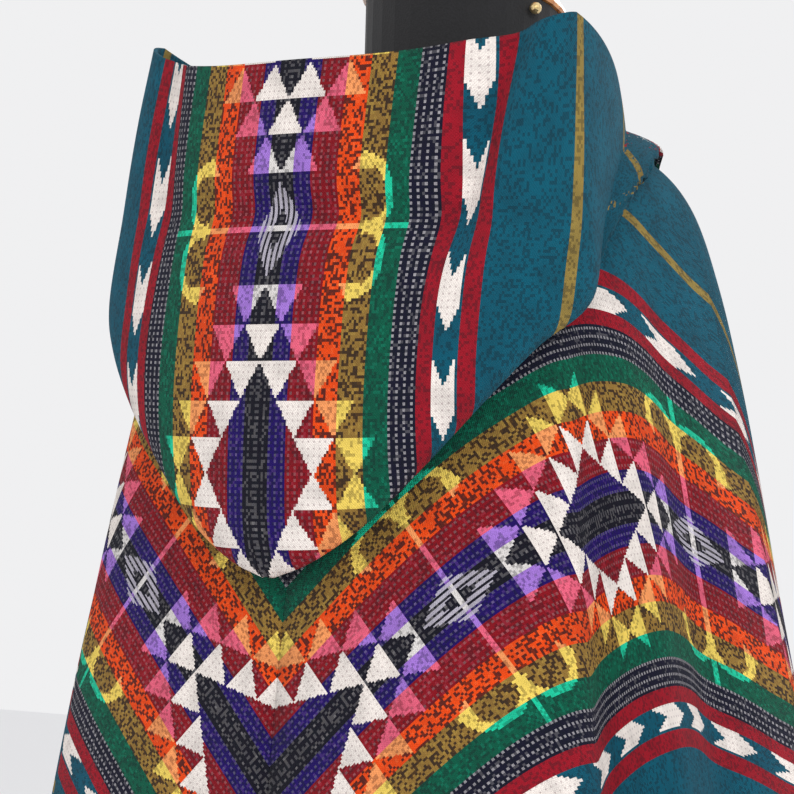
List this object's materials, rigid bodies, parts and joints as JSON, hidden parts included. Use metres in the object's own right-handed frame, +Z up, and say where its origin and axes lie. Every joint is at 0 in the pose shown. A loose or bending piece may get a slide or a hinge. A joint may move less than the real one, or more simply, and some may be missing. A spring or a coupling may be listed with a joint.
{
  "type": "hooded poncho on dress form",
  "caption": "Hooded andean poncho of thick striped and diamond-patterned wool, hanging on a limbless dress form with a wooden neck cap, a pole and a round floor base.",
  "frame": {"origin": "middle of the whole outline at the floor, under the base", "axes": "+Z up, -Y towards the garment's front, -X towards the wearer's right"},
  "size_m": [0.5202, 0.4112, 1.4963],
  "materials": {
    "black_metal": "satin",
    "steel": "satin",
    "form_cloth": "matte",
    "varnished_wood": "gloss",
    "stud_brass": "satin",
    "poncho_weave": "matte",
    "hood_weave": "matte"
  },
  "bodies": {
    "root": {"stand_base": "black_metal", "stand_pole": "steel", "form_torso": "form_cloth", "neck_cap": "varnished_wood", "cap_stud": "stud_brass", "panel_right": "poncho_weave", "panel_left": "poncho_weave", "hood": "hood_weave"}
  },
  "joints": []
}
